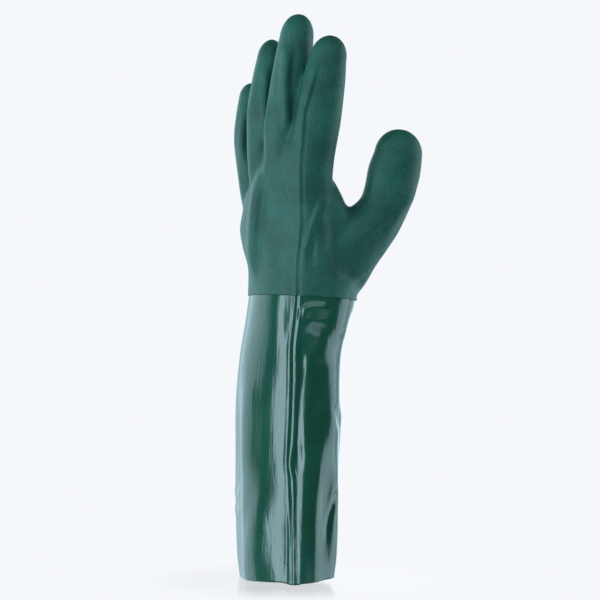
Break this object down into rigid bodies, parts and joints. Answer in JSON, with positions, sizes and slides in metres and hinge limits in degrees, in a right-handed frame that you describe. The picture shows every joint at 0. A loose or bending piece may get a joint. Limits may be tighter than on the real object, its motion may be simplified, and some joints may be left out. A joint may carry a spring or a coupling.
{
  "type": "pvc coated work glove",
  "caption": "Long PVC dipped work glove for the left hand, hollow and held open as worn: matte sandy hand coat over a glossy gauntlet cuff.",
  "frame": {"origin": "centre of the cuff's mouth, where the arm goes in", "axes": "+Z along the arm to the fingertips, +X to the thumb side, +Y out of the palm, -Y out of the back of the hand"},
  "size_m": [0.1222, 0.0999, 0.3982],
  "materials": {
    "cuff_pvc": "high gloss dipped PVC in dark green",
    "hand_pvc": "matte, finely sandy dipped PVC in dark blue green"
  },
  "bodies": {
    "root": {"gauntlet_cuff": "cuff_pvc", "hand_coat": "hand_pvc"}
  },
  "joints": []
}
